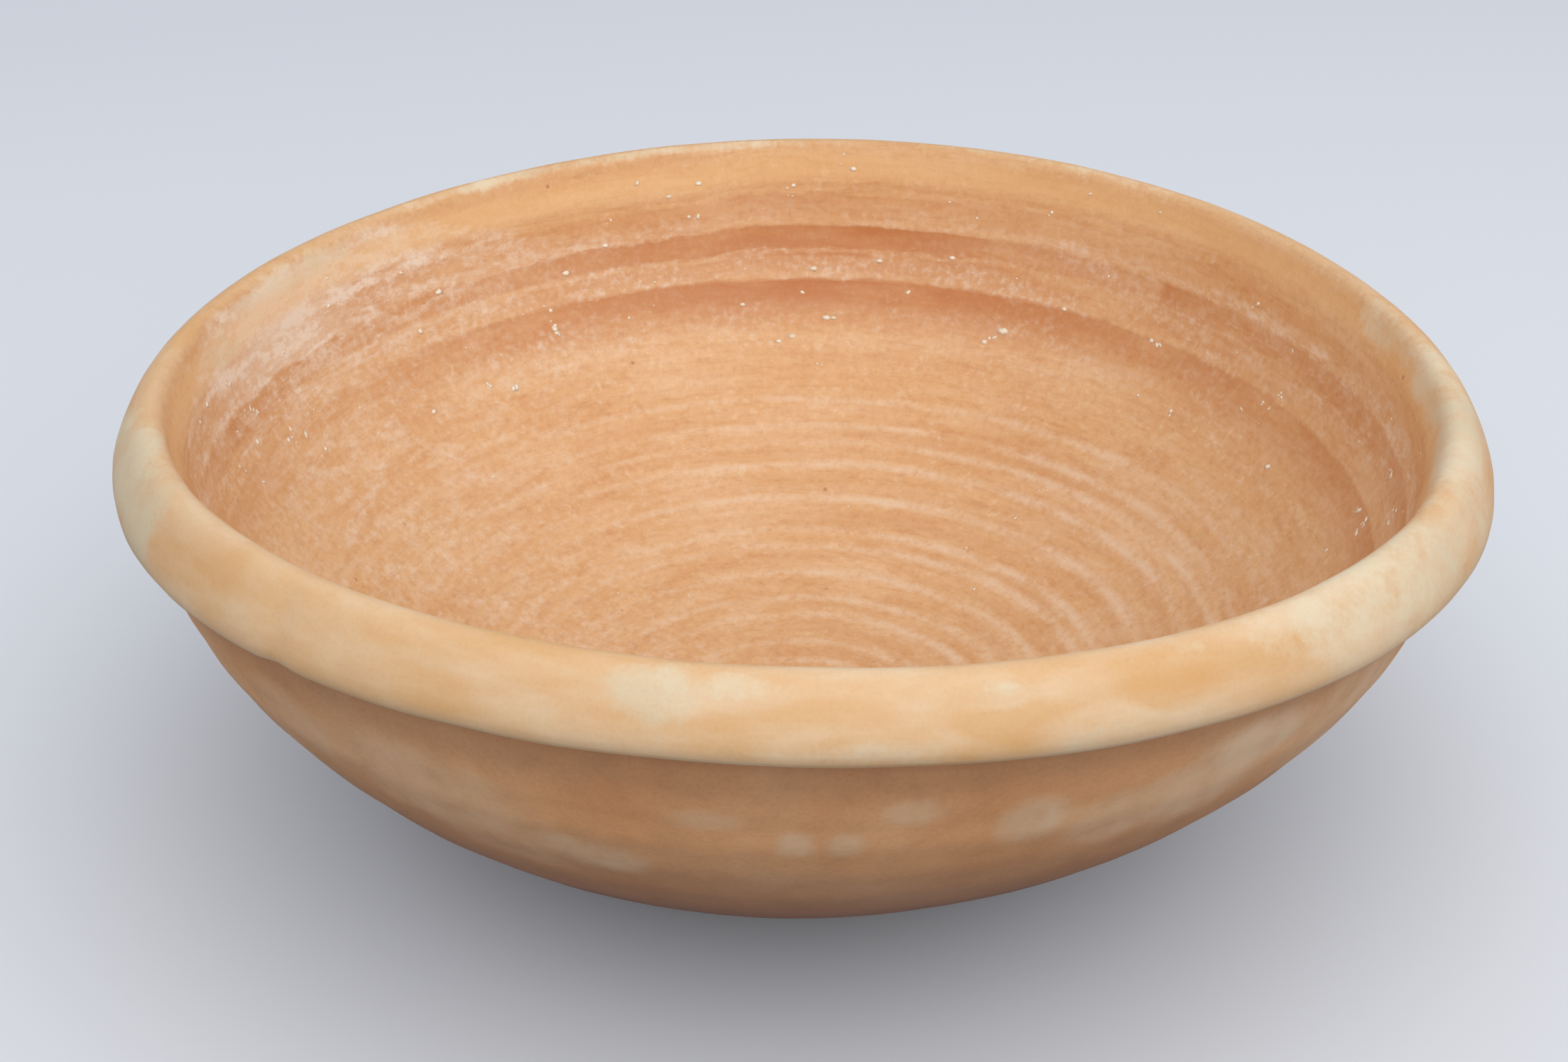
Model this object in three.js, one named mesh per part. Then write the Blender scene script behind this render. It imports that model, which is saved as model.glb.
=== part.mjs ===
// A burnished earthenware bowl with a folded rim and a low ring foot.
// Millimetres, +Z up. The origin is the centre of the face that the foot rests on.
//
// The potter's five clay elements are five solids that meet face to face, as luted clay does:
// the ring foot, the base disc it carries, the thrown wall, the rim strip folded over the
// wall's top edge, and the slip that lines the inside and wraps the rim.
import * as THREE from "three";

// Overall sizes
const RIM_DIAMETER = 180; // across the fold, slip included
const HEIGHT = 65.9; // from the table to the mean crest of the rim, slip included
const SLIP = 0.4; // thickness of the burnished slip

// Ring foot and base disc
const FOOT_DIAMETER = 62;
const FOOT_WIDTH = 7; // of the ring's resting face and its own bevels together
const FOOT_HEIGHT = 2.5; // how far the ring lifts the base disc off the table
const FOOT_BEVEL = 0.8; // rubbed-off lower edges of the ring
const FLOOR_THICKNESS = 5; // base disc at its middle
const HEEL_THICKNESS = 8; // base disc where the wall stands on it

// Wall
const BELLY_THICKNESS = 6.6; // wall half way up
const NECK_THICKNESS = 5; // wall under the fold
const MOUTH_FLARE = 0.9; // how far the wall's inner face opens out behind the fold
const NECK_RUN = 28.6; // how steeply the wall leaves the neck: handle length of its curve
const HEEL_RUN = 16.2; // how far the wall flattens out above the foot: handle length of its curve
const HEEL_RISE = 3.2; // rise of that lower handle

// Folded rim
const FOLD_STAND_OUT = 3.6; // how far the flap stands proud of the neck
const FOLD_CAP = 4.6; // clay over the wall's top edge
const FOLD_LAP = 3; // how far the flap hangs below that edge
const FLAP_DROOP = 2; // how much lower its lip hangs at the left and right than near and far
const CREST_SETBACK = 5.2; // from the fold's outer face in to the crest
const CREST_ROUND = 1.7; // handle length of the round crest, to either side
const LIP_RADIUS = 1.3; // round lower edge of the flap

// Hand-thrown unevenness of the rim, fading out at the floor
const SADDLE_RISE = 1.55; // near and far sides stand this much high, left and right this much low
const SADDLE_TURN = 74; // degrees from +X to a high side
const OVAL_SWELL = 1.25; // half the difference between the long and the short radius
const OVAL_TURN = 123; // degrees from +X to the long axis
const FAR_LIFT = 0.65; // far side (+Y) of the rim over the mean

// Facets
const SEGMENTS = 60; // round each turned piece
const WALL_STEPS = 8; // along the wall's curve
const FLOOR_STEPS = 4; // from the heel to the middle
const RIM_STEPS = 5; // along each half of the rim's crest
const LIP_STEPS = 3; // round the flap's lower edge

const point = (radius, height) => new THREE.Vector2(radius, height);

// Points of a cubic curve, both ends included.
function curve(start, startHandle, endHandle, end, steps) {
  return new THREE.CubicBezierCurve(start, startHandle, endHandle, end).getPoints(steps);
}

// Unit normal at each point of an open outline, to the left of its direction of travel.
function leftNormals(outline) {
  return outline.map((_, i) => {
    const before = outline[Math.max(i - 1, 0)];
    const after = outline[Math.min(i + 1, outline.length - 1)];
    const along = after.clone().sub(before).normalize();
    return point(-along.y, along.x);
  });
}

// The outline moved to its left by a distance that is given for each point.
function movedLeft(outline, distanceAt) {
  const normals = leftNormals(outline);
  return outline.map((p, i) => p.clone().addScaledVector(normals[i], distanceAt(i)));
}

// Levels and radii that neighbouring pieces share
const footRadius = FOOT_DIAMETER / 2;
const foldRadius = RIM_DIAMETER / 2 - SLIP;
const neckRadius = foldRadius - FOLD_STAND_OUT;
const mouthRadius = neckRadius - NECK_THICKNESS;
const brimRadius = mouthRadius + MOUTH_FLARE;
const crestHeight = HEIGHT - SLIP;
const wallTop = crestHeight - FOLD_CAP;
const lipHeight = wallTop - FOLD_LAP;
const floorHeight = FOOT_HEIGHT + FLOOR_THICKNESS;

// Outside of the wall, from the foot up to the underside of the fold.
const wallOutside = curve(
  point(footRadius, FOOT_HEIGHT),
  point(footRadius + HEEL_RUN, FOOT_HEIGHT + HEEL_RISE),
  point(neckRadius, lipHeight - NECK_RUN),
  point(neckRadius, lipHeight),
  WALL_STEPS,
);

// Wall thickness along that curve: heel, belly half way, neck.
function wallThickness(i) {
  const share = i / WALL_STEPS;
  return share < 0.5
    ? THREE.MathUtils.lerp(HEEL_THICKNESS, BELLY_THICKNESS, share * 2)
    : THREE.MathUtils.lerp(BELLY_THICKNESS, NECK_THICKNESS, share * 2 - 1);
}
const wallInside = movedLeft(wallOutside, wallThickness);
const heel = wallInside[0];

// Floor of the bowl, from the middle out to the heel.
const floorOutline = curve(
  point(0, floorHeight),
  point(heel.x * 0.35, floorHeight),
  point(heel.x * 0.7, THREE.MathUtils.lerp(floorHeight, heel.y, 0.35)),
  heel,
  FLOOR_STEPS,
);

// Crest of the rim, from the wall's inner top edge over the crest and down the flap's sloping face.
const crest = point(foldRadius - CREST_SETBACK, crestHeight);
const crestInside = curve(
  point(brimRadius, wallTop),
  point(brimRadius + MOUTH_FLARE, wallTop + FOLD_CAP * 0.5),
  point(crest.x - CREST_ROUND, crestHeight),
  crest,
  RIM_STEPS,
);
const crestOutside = curve(
  crest,
  point(crest.x + CREST_ROUND, crestHeight),
  point(foldRadius, lipHeight + LIP_RADIUS * 3),
  point(foldRadius, lipHeight + LIP_RADIUS),
  RIM_STEPS,
);
const lip = new THREE.EllipseCurve(
  foldRadius - LIP_RADIUS, lipHeight + LIP_RADIUS, LIP_RADIUS, LIP_RADIUS, 0, -Math.PI / 2, true,
).getPoints(LIP_STEPS);

// Height share over which the rim's unevenness grows, 0 at the heel and 1 at the crest.
function unevenShare(height) {
  const share = THREE.MathUtils.clamp((height - heel.y) / (HEIGHT - heel.y), 0, 1);
  return share ** 1.5;
}

// Share of the flap's droop, 0 at the neck and on the crest and 1 at the lip.
function droopShare(radius, height) {
  const out = (radius - neckRadius) / (foldRadius - LIP_RADIUS - neckRadius);
  const down = (crestHeight - height) / (crestHeight - lipHeight);
  return THREE.MathUtils.clamp(out, 0, 1) * THREE.MathUtils.clamp(down, 0, 1);
}

// Moves a turned piece's points as the soft clay moved: a saddle, a slight oval, a lean and the
// flap's droop.
function throwByHand(geometry) {
  const position = geometry.getAttribute("position");
  for (let i = 0; i < position.count; i++) {
    const x = position.getX(i);
    const y = position.getY(i);
    const z = position.getZ(i);
    const share = unevenShare(z);
    const angle = Math.atan2(y, x);
    const saddle = SADDLE_RISE * Math.cos(2 * (angle - THREE.MathUtils.degToRad(SADDLE_TURN)));
    const oval = OVAL_SWELL * Math.cos(2 * (angle - THREE.MathUtils.degToRad(OVAL_TURN)));
    const grow = 1 + (share * oval) / foldRadius;
    const lift = share * (saddle + FAR_LIFT * Math.sin(angle));
    const droop = FLAP_DROOP * droopShare(Math.hypot(x, y), z) * Math.cos(angle) ** 2;
    position.setXYZ(i, x * grow, y * grow, z + lift - droop);
  }
  return geometry;
}

// Splits each facet of a turned piece along the diagonal that rises against the turn, whichever
// way its outline runs, so that two pieces that share a face share its facets too.
function facetAlike(geometry, outline) {
  const facets = [];
  for (let turn = 0; turn < SEGMENTS; turn++) {
    for (let row = 0; row < outline.length - 1; row++) {
      const here = turn * outline.length + row;
      const next = here + outline.length;
      const climb = outline[row + 1].y - outline[row].y || outline[row + 1].x - outline[row].x;
      if (climb > 0) {
        facets.push(here, next, here + 1, next + 1, here + 1, next);
      } else {
        facets.push(here, next, next + 1, here, next + 1, here + 1);
      }
    }
  }
  geometry.setIndex(facets);
  return geometry;
}

// A piece turned about +Z from an outline of radius and height that runs anticlockwise.
function turned(name, outline, material) {
  const lathed = new THREE.LatheGeometry(outline, SEGMENTS).rotateX(Math.PI / 2);
  const mesh = new THREE.Mesh(throwByHand(facetAlike(lathed, outline)), material);
  mesh.name = name;
  return mesh;
}

const closed = (outline) => [...outline, outline[0].clone()];
const reversed = (outline) => [...outline].reverse();

// Fired clay: no metal, and the more it was rubbed the smoother it is.
function fired(color, roughness) {
  return new THREE.MeshStandardMaterial({ color, roughness, metalness: 0 });
}

// Coil luted under the base disc and trimmed on the wheel.
function footRing() {
  const inner = footRadius - FOOT_WIDTH;
  return turned("foot_ring", closed([
    point(inner, FOOT_HEIGHT),
    point(inner, FOOT_BEVEL),
    point(inner + FOOT_BEVEL, 0),
    point(footRadius - FOOT_BEVEL, 0),
    point(footRadius, FOOT_BEVEL),
    point(footRadius, FOOT_HEIGHT),
  ]), fired(0xa97a52, 0.9));
}

// Disc that the wall stands on: flat below, dished above, with a slanting edge for the joint.
function baseDisc() {
  return turned("base_disc", [
    point(0, FOOT_HEIGHT),
    point(footRadius - FOOT_WIDTH, FOOT_HEIGHT),
    wallOutside[0],
    ...reversed(floorOutline),
  ], fired(0xb28257, 0.9));
}

// Thrown wall, with a level top edge that the fold caps.
function bowlWall() {
  return turned("bowl_wall", closed([
    ...wallOutside,
    point(neckRadius, wallTop),
    point(brimRadius, wallTop),
    ...reversed(wallInside),
  ]), fired(0xbb8a5d, 0.85));
}

// Rim strip folded outwards over the wall's top edge and pressed down against the neck.
function rimFold() {
  return turned("rim_fold", closed([
    point(brimRadius, wallTop),
    point(neckRadius, wallTop),
    wallOutside[WALL_STEPS],
    ...reversed(lip),
    ...reversed(crestOutside).slice(1),
    ...reversed(crestInside).slice(1, -1),
  ]), fired(0xcd9c6e, 0.8));
}

// Slip on everything that the burnisher rubbed: floor, inner wall, crest and the flap's face.
function burnishedSlip() {
  const clayFace = [
    ...floorOutline,
    ...wallInside.slice(1),
    ...crestInside,
    ...crestOutside.slice(1),
    ...lip.slice(1),
  ];
  const slipFace = movedLeft(clayFace, () => SLIP);
  slipFace[0].x = 0;
  return turned("burnished_slip", [...clayFace, ...reversed(slipFace)], fired(0xdca676, 0.5));
}

const bowl = new THREE.Group();
bowl.name = "burnished_bowl";
bowl.add(footRing(), baseDisc(), bowlWall(), rimFold(), burnishedSlip());

export default bowl;
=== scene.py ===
import math
import random

import bmesh
import bpy
from mathutils import Matrix, Vector, noise
from mathutils.geometry import interpolate_bezier


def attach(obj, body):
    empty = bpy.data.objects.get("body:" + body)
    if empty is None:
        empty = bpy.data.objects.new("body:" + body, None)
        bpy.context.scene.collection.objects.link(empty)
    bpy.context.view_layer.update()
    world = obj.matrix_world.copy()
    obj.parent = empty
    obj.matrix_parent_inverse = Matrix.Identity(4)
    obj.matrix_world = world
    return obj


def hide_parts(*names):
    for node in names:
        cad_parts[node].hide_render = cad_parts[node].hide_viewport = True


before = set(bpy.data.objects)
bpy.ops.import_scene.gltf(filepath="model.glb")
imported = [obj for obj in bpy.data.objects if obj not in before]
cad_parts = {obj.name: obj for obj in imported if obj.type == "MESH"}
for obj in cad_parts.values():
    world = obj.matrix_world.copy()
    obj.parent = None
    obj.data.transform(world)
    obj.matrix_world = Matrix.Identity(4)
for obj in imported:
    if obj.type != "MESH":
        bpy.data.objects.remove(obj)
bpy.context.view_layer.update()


# Ring foot
# A low coil of the same clay, luted under the base and trimmed while the bowl turned.
# Its edges are rubbed round from standing on stone and earth.
MM = 0.001
FOOT_RADIUS = 31.0
FOOT_WIDTH = 7.0
FOOT_HEIGHT = 2.5
FOOT_ROUND = 0.9
FOOT_WEAR = 0.12
ROUND_STEPS = 5
FOOT_COLUMNS = 180
WELD = 0.002


def curve(start, start_handle, end_handle, end, steps):
    """Points of a cubic curve in a section of radius and height, both ends included."""
    knots = [Vector((r, h, 0)) for r, h in (start, start_handle, end_handle, end)]
    return [(p.x, p.y) for p in interpolate_bezier(*knots, steps + 1)]


def turn(section, columns, closed):
    """Spins a section of (radius, height, along) about the upright axis into one closed skin.
    The third number is kept on each point as the attribute along."""
    shape = bmesh.new()
    along = shape.verts.layers.float.new("along")
    points = []
    for radius, height, distance in section:
        points.append(shape.verts.new((radius * MM, 0, height * MM)))
        points[-1][along] = distance
    ring = points + points[:1] if closed else points
    for here, there in zip(ring, ring[1:]):
        shape.edges.new((here, there))
    bmesh.ops.spin(shape, geom=shape.verts[:] + shape.edges[:], axis=(0, 0, 1), cent=(0, 0, 0),
                   angle=math.tau, steps=columns, use_merge=True)
    bmesh.ops.remove_doubles(shape, verts=shape.verts[:], dist=WELD * MM)
    bmesh.ops.recalc_face_normals(shape, faces=shape.faces[:])
    return shape


def grain(point, size, seed):
    """Smooth noise from -1 to 1 whose lumps are about size millimetres."""
    return noise.noise(point / (size * MM) + Vector((seed, seed * 1.7, seed * 0.3)))


def finish_piece(shape, name, material, node):
    """Turns a shape into a smooth-shaded piece that stands for a node of the frame."""
    mesh = bpy.data.meshes.new(name)
    shape.to_mesh(mesh)
    shape.free()
    mesh.polygons.foreach_set("use_smooth", [True] * len(mesh.polygons))
    mesh.materials.append(material)
    piece = bpy.data.objects.new(name, mesh)
    bpy.context.scene.collection.objects.link(piece)
    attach(piece, "root")
    if node:
        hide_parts(node)
    return piece


def linear(hex_colour):
    """An sRGB hex colour as the linear RGBA that shaders take."""
    parts = [int(hex_colour[i:i + 2], 16) / 255 for i in (1, 3, 5)]
    return [c / 12.92 if c <= 0.04045 else ((c + 0.055) / 1.055) ** 2.4 for c in parts] + [1.0]


def add(tree, kind, inputs=None, stops=None, **settings):
    """Adds a shader node with its settings, its socket values or links, and any ramp stops."""
    node = tree.nodes.new("ShaderNode" + kind)
    for key, value in settings.items():
        setattr(node, key, value)
    for key, value in (inputs or {}).items():
        if isinstance(value, bpy.types.NodeSocket):
            tree.links.new(value, node.inputs[key])
        else:
            node.inputs[key].default_value = value
    if stops:
        ramp = node.color_ramp.elements
        while len(ramp) < len(stops):
            ramp.new(1.0)
        for element, (position, value) in zip(ramp, stops):
            element.position = position
            element.color = linear(value) if isinstance(value, str) else (value, value, value, 1)
    return node


def new_material(name):
    """A new material, its node tree and its principled shader."""
    material = bpy.data.materials.new(name)
    material.use_nodes = True
    return material, material.node_tree, material.node_tree.nodes["Principled BSDF"]


# Scraped earthenware: low-fired clay, dry and matte, brown where the hand and the ground rubbed it.
# Lumps 6 mm across shift its colour, and a half-millimetre sand grain breaks up its light.
scraped, tree, shader = new_material("scraped_earthenware")
place = add(tree, "TexCoord").outputs["Object"]
lumps = add(tree, "TexNoise", {"Vector": place, "Scale": 1 / (6 * MM), "Detail": 5.0, "Roughness": 0.6})
sand = add(tree, "TexNoise", {"Vector": place, "Scale": 1 / (0.55 * MM), "Detail": 3.0})
body = add(tree, "ValToRGB", {"Fac": lumps.outputs["Fac"]},
           stops=[(0.28, "#7f5843"), (0.5, "#966c54"), (0.72, "#ad866c")])
flecks = add(tree, "ValToRGB", {"Fac": sand.outputs["Fac"]},
             stops=[(0.3, 0.78), (0.52, 1.0), (0.78, 1.12)])
tint = add(tree, "Mix", {0: 1.0, 6: body.outputs["Color"], 7: flecks.outputs["Color"]},
           data_type="RGBA", blend_type="MULTIPLY")
tree.links.new(tint.outputs[2], shader.inputs["Base Color"])
shader.inputs["Roughness"].default_value = 0.88
shader.inputs["IOR"].default_value = 1.5
rough = add(tree, "Bump", {"Strength": 0.5, "Distance": 0.12 * MM, "Height": sand.outputs["Fac"]})
tree.links.new(rough.outputs["Normal"], shader.inputs["Normal"])

foot_inner = FOOT_RADIUS - FOOT_WIDTH
foot_section = (
    [(foot_inner, FOOT_HEIGHT)]
    + curve((foot_inner, FOOT_ROUND), (foot_inner, FOOT_ROUND / 2),
            (foot_inner + FOOT_ROUND / 2, 0), (foot_inner + FOOT_ROUND, 0), ROUND_STEPS)
    + curve((FOOT_RADIUS - FOOT_ROUND, 0), (FOOT_RADIUS - FOOT_ROUND / 2, 0),
            (FOOT_RADIUS, FOOT_ROUND / 2), (FOOT_RADIUS, FOOT_ROUND), ROUND_STEPS)
    + [(FOOT_RADIUS, FOOT_HEIGHT * 0.7), (FOOT_RADIUS, FOOT_HEIGHT)])
foot = turn([(r, h, 0) for r, h in foot_section], FOOT_COLUMNS, True)
for v in foot.verts:
    if v.co.z < FOOT_HEIGHT * MM * 0.9:
        wear = grain(v.co, size=9, seed=2.0) + 0.5 * grain(v.co, size=3, seed=5.0)
        v.co.z = max(v.co.z + FOOT_WEAR * MM * (0.4 + wear), 0.0)
finish_piece(foot, "clay_foot", scraped, "foot_ring")


# Base disc
# The floor of the bowl, a pat of clay beaten flat on the wheel. Below, inside the ring,
# the turning tool left shallow rings; above, the slip covers it.
FLOOR_HEIGHT = 7.5
FLOOR_STEPS = 30
RING_PITCH = 2.6
RING_DEPTH = 0.22
RING_FADE = 4
UNDER_LUMPS = 0.12
UNDER_STEPS = 46
HEEL_THICKNESS = 8.0
BELLY_THICKNESS = 6.6
NECK_THICKNESS = 5.0
NECK_RADIUS = 86.0
LIP_HEIGHT = 57.9
HEEL_PULL = (47.2, 5.7)
NECK_PULL = (NECK_RADIUS, 29.3)
WALL_STEPS = 90
SLIP_BED = 1.0
BED_SKIP = 5


def left_of(outline, distances):
    """An open outline moved to the left of its direction of travel, by a distance for each point."""
    moved = []
    for i, (r, h) in enumerate(outline):
        r0, h0 = outline[max(i - 1, 0)]
        r1, h1 = outline[min(i + 1, len(outline) - 1)]
        length = math.hypot(r1 - r0, h1 - h0)
        moved.append((r - (h1 - h0) / length * distances[i], h + (r1 - r0) / length * distances[i]))
    return moved


# The wall's outline is one curve from the foot to the neck, and it thins evenly in two halves.
wall_outside = curve((FOOT_RADIUS, FOOT_HEIGHT), HEEL_PULL, NECK_PULL, (NECK_RADIUS, LIP_HEIGHT),
                     WALL_STEPS)
thickness = []
for i in range(WALL_STEPS + 1):
    halves = 2 * i / WALL_STEPS
    if halves < 1:
        thickness.append(HEEL_THICKNESS + (BELLY_THICKNESS - HEEL_THICKNESS) * halves)
    else:
        thickness.append(BELLY_THICKNESS + (NECK_THICKNESS - BELLY_THICKNESS) * (halves - 1))
wall_inside = left_of(wall_outside, thickness)
heel_radius, heel_height = wall_inside[0]
floor_line = curve((0, FLOOR_HEIGHT), (heel_radius * 0.35, FLOOR_HEIGHT),
                   (heel_radius * 0.7, FLOOR_HEIGHT + 0.35 * (heel_height - FLOOR_HEIGHT)),
                   (heel_radius, heel_height), FLOOR_STEPS)

under = [(foot_inner * i / UNDER_STEPS, FOOT_HEIGHT) for i in range(UNDER_STEPS + 1)]
base_section = (under + [wall_outside[0], (heel_radius, heel_height - SLIP_BED)]
                + [(r, h - SLIP_BED) for r, h in floor_line[-2::-BED_SKIP]])
base_section[-1] = (0, FLOOR_HEIGHT - SLIP_BED)
base = turn([(r, h, 0) for r, h in base_section], FOOT_COLUMNS, False)
for v in base.verts:
    radius = math.hypot(v.co.x, v.co.y) / MM
    if v.co.z < (FOOT_HEIGHT + 0.01) * MM and radius < foot_inner - 0.5:
        spiral = radius / RING_PITCH - math.atan2(v.co.y, v.co.x) / math.tau
        cut = 0.5 + 0.5 * math.cos(math.tau * spiral)
        groove = RING_DEPTH * cut * min(radius / RING_FADE, 1)
        v.co.z += (groove + UNDER_LUMPS * (1 + grain(v.co, size=7, seed=3.0))) * MM
finish_piece(base, "clay_base", scraped, "base_disc")


# Wall
# Thrown from the base up in one pull, then left as it came off the wheel: finger ridges
# run round it, and the outside has no slip. The soft clay sagged into a slight saddle and oval.
FOLD_RADIUS = 89.6
RIM_HEIGHT = 65.9
WALL_TOP = 60.9
BRIM_STEP = 0.9
BRIM_RADIUS = NECK_RADIUS - NECK_THICKNESS + BRIM_STEP
FINGER_PITCH = 5.5
FINGER_DEPTH = 0.05
WALL_SWELLS = 0.3
WALL_LUMPS = 0.06
WALL_INSET = 0.1
END_FADE = 3
WALL_COLUMNS = 300
SADDLE_RISE = 1.55
SADDLE_TURN = math.radians(74)
OVAL_SWELL = 1.25
OVAL_TURN = math.radians(123)
FAR_LIFT = 0.65
SAG_EASE = 1.5
PATCH_REACH = 1.6


def throw_by_hand(shape):
    """Moves every point as the soft clay moved: a saddle, a slight oval and a lean to the far side."""
    for v in shape.verts:
        x, y, z = v.co / MM
        share = min(max((z - heel_height) / (RIM_HEIGHT - heel_height), 0.0), 1.0) ** SAG_EASE
        angle = math.atan2(y, x)
        oval = OVAL_SWELL * math.cos(2 * (angle - OVAL_TURN))
        lift = SADDLE_RISE * math.cos(2 * (angle - SADDLE_TURN)) + FAR_LIFT * math.sin(angle)
        grow = 1 + share * oval / FOLD_RADIUS
        v.co = Vector((x * grow, y * grow, z + share * lift)) * MM


def smooth_step(value):
    """0 below 0, 1 above 1, and an even bend between."""
    value = min(max(value, 0.0), 1.0)
    return value * value * (3 - 2 * value)


def patch_weight(angle, level, patches):
    """How much a spot lies in the listed patches, from 0 to 1."""
    most = 0.0
    for centre, middle, half_turn, half_level, strength in patches:
        off = (math.degrees(angle) - centre + 180) % 360 - 180
        reach = math.hypot(off / half_turn, (level - middle) / half_level)
        most = max(most, strength * smooth_step(PATCH_REACH - reach))
    return most


# Thrown earthenware: orange clay, dry and matte, with painted shade that browns it low down and in the
# crease under the lip, and a paler bloom of lime in soft patches. Sand of half a millimetre breaks up its
# light.
thrown, tree, shader = new_material("thrown_earthenware")
place = add(tree, "TexCoord").outputs["Object"]
clouds = add(tree, "TexNoise", {"Vector": place, "Scale": 1 / (22 * MM), "Detail": 4.0, "Roughness": 0.55})
lumps = add(tree, "TexNoise", {"Vector": place, "Scale": 1 / (5 * MM), "Detail": 5.0, "Roughness": 0.62})
sand = add(tree, "TexNoise", {"Vector": place, "Scale": 1 / (0.5 * MM), "Detail": 3.0})
body = add(tree, "ValToRGB", {"Fac": clouds.outputs["Fac"]},
           stops=[(0.3, "#e29f67"), (0.5, "#eaad78"), (0.7, "#efba8c")])
level = add(tree, "SeparateXYZ", {0: place})
# Painted shade: the wall's colour darkens towards the bottom, where it faces down.
low = add(tree, "MapRange", {"Value": level.outputs["Z"], "From Min": 44 * MM, "From Max": 20 * MM})
low_shaded = add(tree, "Mix", {0: low.outputs["Result"], 6: body.outputs["Color"], 7: linear("#8c6250")},
             data_type="RGBA")
# Painted shadow: a browner band high on the wall, under the lip, where the fold's shadow falls.
crease = add(tree, "MapRange", {"Value": level.outputs["Z"], "From Min": 46 * MM, "From Max": 53 * MM,
                                "To Max": 0.6})
lip_shadowed = add(tree, "Mix", {0: crease.outputs["Result"], 6: low_shaded.outputs[2], 7: linear("#b27f5a")},
             data_type="RGBA")
mottle = add(tree, "ValToRGB", {"Fac": lumps.outputs["Fac"]},
             stops=[(0.3, 0.92), (0.5, 1.0), (0.7, 1.05)])
tint = add(tree, "Mix", {0: 1.0, 6: lip_shadowed.outputs[2], 7: mottle.outputs["Color"]},
           data_type="RGBA", blend_type="MULTIPLY")
flecks = add(tree, "ValToRGB", {"Fac": sand.outputs["Fac"]},
             stops=[(0.28, 0.93), (0.5, 1.0), (0.75, 1.04)])
sanded = add(tree, "Mix", {0: 1.0, 6: tint.outputs[2], 7: flecks.outputs["Color"]},
             data_type="RGBA", blend_type="MULTIPLY")
patch = add(tree, "Attribute", attribute_name="lime")
broken = add(tree, "Math", {0: patch.outputs["Fac"], 1: lumps.outputs["Fac"]}, operation="MULTIPLY")
bloom = add(tree, "MapRange", {"Value": broken.outputs["Value"], "From Min": 0.05, "From Max": 0.65,
                               "To Max": 0.72})
limed = add(tree, "Mix", {0: bloom.outputs["Result"], 6: sanded.outputs[2], 7: linear("#efcfaa")},
            data_type="RGBA")
tree.links.new(limed.outputs[2], shader.inputs["Base Color"])
shader.inputs["Roughness"].default_value = 0.85
shader.inputs["IOR"].default_value = 1.5
gritty = add(tree, "Math", {0: lumps.outputs["Fac"], 1: sand.outputs["Fac"]}, operation="ADD")
rough = add(tree, "Bump", {"Strength": 0.3, "Distance": 0.12 * MM, "Height": gritty.outputs["Value"]})
tree.links.new(rough.outputs["Normal"], shader.inputs["Normal"])

# Lime patches on the outside: degrees from +X, height, half width in degrees, half height, strength.
WALL_LIME = [(-90.6, 43.6, 1.3, 1.9, 1.0), (-87.1, 43.5, 1.3, 1.9, 1.0), (-73.5, 45.2, 2.4, 3.4, 1.0),
             (-105.7, 37.4, 3.2, 2.6, 0.8), (-109, 39, 2.5, 2.0, 0.7), (-120, 42.8, 8, 6, 0.65),
             (-66.3, 42.8, 4, 4, 0.8), (-59, 43.5, 6, 5, 0.8), (-55, 47.8, 5, 3.6, 1.2),
             (-82.3, 48.6, 1.8, 1.8, 0.7), (-97, 47, 2.5, 1.6, 0.5), (-114.4, 35.5, 6, 3.0, 0.45),
             (-134, 44, 5, 5, 0.6), (-145, 38, 9, 6, 0.4), (-42, 44, 8, 7, 0.7), (-18, 42, 10, 8, 0.6),
             (25, 47, 8, 5, 0.7), (70, 38, 12, 8, 0.5), (118, 46, 9, 5, 0.7), (160, 41, 10, 7, 0.6)]

wall_bed = left_of(wall_outside, [t - SLIP_BED for t in thickness])
wall_section = (wall_outside + [(NECK_RADIUS, WALL_TOP), (BRIM_RADIUS + SLIP_BED, WALL_TOP)]
                + wall_bed[::-BED_SKIP])

# Points of the outside carry their number up the wall, and all others -1, so that they stay put.
numbered = [(r, h, i if i <= WALL_STEPS else -1) for i, (r, h) in enumerate(wall_section)]
wall = turn(numbered, WALL_COLUMNS, True)
lime = wall.verts.layers.float.new("lime")
along = wall.verts.layers.float["along"]
wall.normal_update()
moves = []
for v in wall.verts:
    if v[along] < 0.5:
        moves.append(0.0)
        continue
    angle = math.atan2(v.co.y, v.co.x)
    height = v.co.z / MM
    v[lime] = patch_weight(angle, height, WALL_LIME)
    fingers = math.cos(math.tau * (height / FINGER_PITCH - angle / math.tau))
    ends = min((LIP_HEIGHT - height) / END_FADE, (height - FOOT_HEIGHT) / END_FADE, 1.0)
    rise = (FINGER_DEPTH * fingers + WALL_SWELLS * grain(v.co, size=26, seed=1.0)
            + WALL_LUMPS * grain(v.co, size=6, seed=4.0))
    moves.append(rise * max(ends, 0.0) - WALL_INSET)
for v, move in zip(wall.verts, moves):
    v.co += v.normal * move * MM
throw_by_hand(wall)
finish_piece(wall, "clay_wall", thrown, "bowl_wall")


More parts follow.
